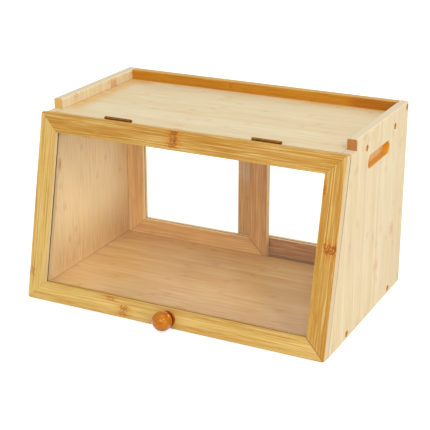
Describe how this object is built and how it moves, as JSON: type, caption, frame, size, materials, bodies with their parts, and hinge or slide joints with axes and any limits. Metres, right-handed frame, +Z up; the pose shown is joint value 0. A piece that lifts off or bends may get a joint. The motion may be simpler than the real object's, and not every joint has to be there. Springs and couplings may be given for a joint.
{
  "type": "bread box",
  "caption": "Slant-front wooden bread box with a lift-up clear front door, a railed tray top, hand slots and clear sliding rear doors.",
  "frame": {"origin": "middle of the underside, where the box rests", "axes": "+X to the right seen from the front, +Y to the back, +Z up"},
  "size_m": [0.4, 0.2869, 0.24],
  "materials": {
    "case_bamboo": "pale bamboo under a thin satin coat",
    "door_bamboo": "golden bamboo under a satin coat",
    "rear_door_bamboo": "golden bamboo under a satin coat",
    "knob_wood": "turned wood, glossy amber lacquer",
    "clear_acrylic": "clear, polished",
    "antique_brass": "darkened, satin",
    "bronzed_screw": "bronzed, dull"
  },
  "bodies": {
    "cabinet": {"side_panel_left": "case_bamboo", "side_panel_right": "case_bamboo", "top_panel": "case_bamboo", "bottom_panel": "case_bamboo", "rear_rail": "case_bamboo", "side_screws_left": "bronzed_screw", "side_screws_right": "bronzed_screw", "hinge_left_fixed_leaf": "antique_brass", "hinge_right_fixed_leaf": "antique_brass", "hinge_left_pin": "antique_brass", "hinge_right_pin": "antique_brass", "hinge_left_fixed_screws": "antique_brass", "hinge_right_fixed_screws": "antique_brass"},
    "front_door": {"door_top_rail": "door_bamboo", "door_bottom_rail": "door_bamboo", "door_left_stile": "door_bamboo", "door_right_stile": "door_bamboo", "door_pane": "clear_acrylic", "knob": "knob_wood", "knob_screw": "bronzed_screw", "hinge_left_door_leaf": "antique_brass", "hinge_right_door_leaf": "antique_brass", "hinge_left_door_screws": "antique_brass", "hinge_right_door_screws": "antique_brass"},
    "rear_left_door": {"rear_left_door_bottom_rail": "rear_door_bamboo", "rear_left_door_top_rail": "rear_door_bamboo", "rear_left_door_left_stile": "rear_door_bamboo", "rear_left_door_right_stile": "rear_door_bamboo", "rear_left_door_pane": "clear_acrylic"},
    "rear_right_door": {"rear_right_door_bottom_rail": "rear_door_bamboo", "rear_right_door_top_rail": "rear_door_bamboo", "rear_right_door_left_stile": "rear_door_bamboo", "rear_right_door_right_stile": "rear_door_bamboo", "rear_right_door_pane": "clear_acrylic"}
  },
  "joints": [
    {"name": "front_door_hinge", "type": "hinge", "parent": "cabinet", "child": "front_door", "pos_m": [0, -0.07497, 0.22945], "axis": [-1, 0, 0], "range_deg": [0, 184]},
    {"name": "rear_left_door_slide", "type": "slide", "parent": "cabinet", "child": "rear_left_door", "axis": [1, 0, 0], "range_m": [0, 0.1635]},
    {"name": "rear_right_door_slide", "type": "slide", "parent": "cabinet", "child": "rear_right_door", "axis": [-1, 0, 0], "range_m": [0, 0.1635]}
  ]
}
